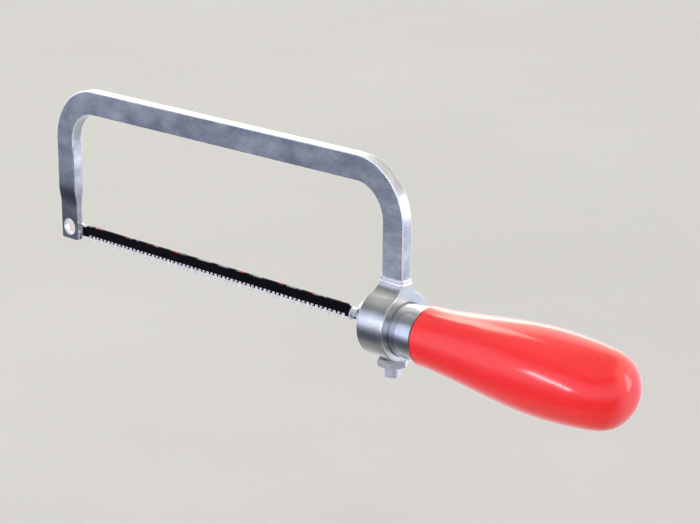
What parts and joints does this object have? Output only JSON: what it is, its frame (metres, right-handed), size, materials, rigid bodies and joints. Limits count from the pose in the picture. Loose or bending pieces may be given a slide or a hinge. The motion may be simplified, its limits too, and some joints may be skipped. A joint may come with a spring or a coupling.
{
  "type": "hacksaw",
  "caption": "Small hand hacksaw: bent flat-bar bow, pin-ended blade drawn tight by turning the wooden handle, and a lock screw with a jam nut under the collar.",
  "frame": {"origin": "on the handle axis, in the plane of the collar's rear face", "axes": "+X forward along the handle axis to the toe, +Z from the teeth to the back of the bow, +Y to the left of somebody holding the handle"},
  "size_m": [0.2802, 0.0308, 0.0788],
  "materials": {
    "plated_bar": "bright plating over a slightly wavy bent bar",
    "plated_casting": "bright plating",
    "plated_nut": "bright plating",
    "polished_sleeve": "polished",
    "plain_steel": "machined",
    "lacquered_wood": "gloss red lacquer over turned wood",
    "blued_blade": "dark blue-black coating, bright teeth"
  },
  "bodies": {
    "bow": {"bow_bar": "plated_bar", "handle_collar": "plated_casting", "front_blade_anchor": "plated_casting"},
    "grip": {"handle": "lacquered_wood", "ferrule": "polished_sleeve", "tension_nut": "plain_steel", "thrust_washer": "plain_steel"},
    "spindle": {"tension_spindle": "plain_steel"},
    "blade": {"blade": "blued_blade", "front_blade_pin": "plain_steel", "rear_blade_pin": "plain_steel"},
    "lock_screw": {"lock_screw": "plain_steel"},
    "lock_nut": {"lock_nut": "plated_nut"}
  },
  "joints": [
    {"name": "handle_turn", "type": "hinge", "parent": "bow", "child": "grip", "pos_m": [0, 0, 0], "axis": [-1, 0, 0], "range_deg": [0, 1080]},
    {"name": "spindle_slide", "type": "slide", "parent": "bow", "child": "spindle", "axis": [1, 0, 0], "range_m": [0, 0.003]},
    {"name": "blade_swing", "type": "hinge", "parent": "bow", "child": "blade", "pos_m": [0.1734, 0, 0], "axis": [0, -1, 0], "range_deg": [0, 35]},
    {"name": "lock_screw_slide", "type": "slide", "parent": "bow", "child": "lock_screw", "axis": [0, 0, -1], "range_m": [0, 0.0014]},
    {"name": "lock_nut_turn", "type": "hinge", "parent": "bow", "child": "lock_nut", "pos_m": [0.0057, 0, -0.0132], "axis": [0, 0, 1], "range_deg": [0, 60]}
  ],
  "couplings": [
    {"joint": "spindle_slide", "follows": "handle_turn", "m_per_rad": 0.00015915}
  ]
}
